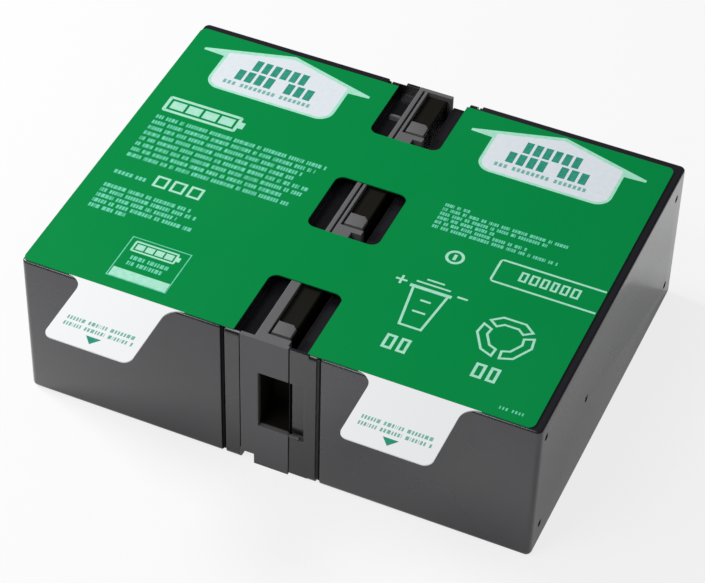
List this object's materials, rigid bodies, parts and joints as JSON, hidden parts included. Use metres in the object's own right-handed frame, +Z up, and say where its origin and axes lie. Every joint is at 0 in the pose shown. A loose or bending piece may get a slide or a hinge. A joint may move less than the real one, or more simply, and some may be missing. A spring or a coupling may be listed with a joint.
{
  "type": "ups battery cartridge",
  "caption": "Flat battery cartridge: two sealed blocks lying lid to lid, a contact strip between them, and a stiff green label with two white pull tabs.",
  "frame": {"origin": "middle of the underside: half way between the two lids and half way along the blocks, on the strip's floor", "axes": "+X across the two blocks to the right, +Y from the pull tabs to the contact end, +Z up"},
  "size_m": [0.201, 0.1813, 0.0655],
  "materials": {
    "case": "dark grey moulded plastic, satin",
    "strip_plastic": "dark grey moulded plastic, fine texture",
    "valve_rubber": "matt",
    "positive_paste": "dry brown paste on a lead grid",
    "negative_paste": "dry grey paste on a lead grid",
    "glass_mat": "white glass fibre mat",
    "lead": "cast, dull",
    "terminal_metal": "tin plated",
    "contact_metal": "bright, folded sheet",
    "label": "printed film on stiff card, satin"
  },
  "bodies": {
    "root": {"left_container": "case", "left_lid": "case", "left_vent_cover": "case", "left_valve_caps": "valve_rubber", "left_positive_plates": "positive_paste", "left_negative_plates": "negative_paste", "left_separators": "glass_mat", "left_cell_straps": "lead", "left_front_terminal": "terminal_metal", "left_rear_terminal": "terminal_metal", "right_container": "case", "right_lid": "case", "right_vent_cover": "case", "right_valve_caps": "valve_rubber", "right_positive_plates": "positive_paste", "right_negative_plates": "negative_paste", "right_separators": "glass_mat", "right_cell_straps": "lead", "right_front_terminal": "terminal_metal", "right_rear_terminal": "terminal_metal", "connector_housing": "strip_plastic", "contact_carrier": "strip_plastic", "series_link": "contact_metal", "left_output_contact": "contact_metal", "right_output_contact": "contact_metal", "top_label": "label"}
  },
  "joints": []
}
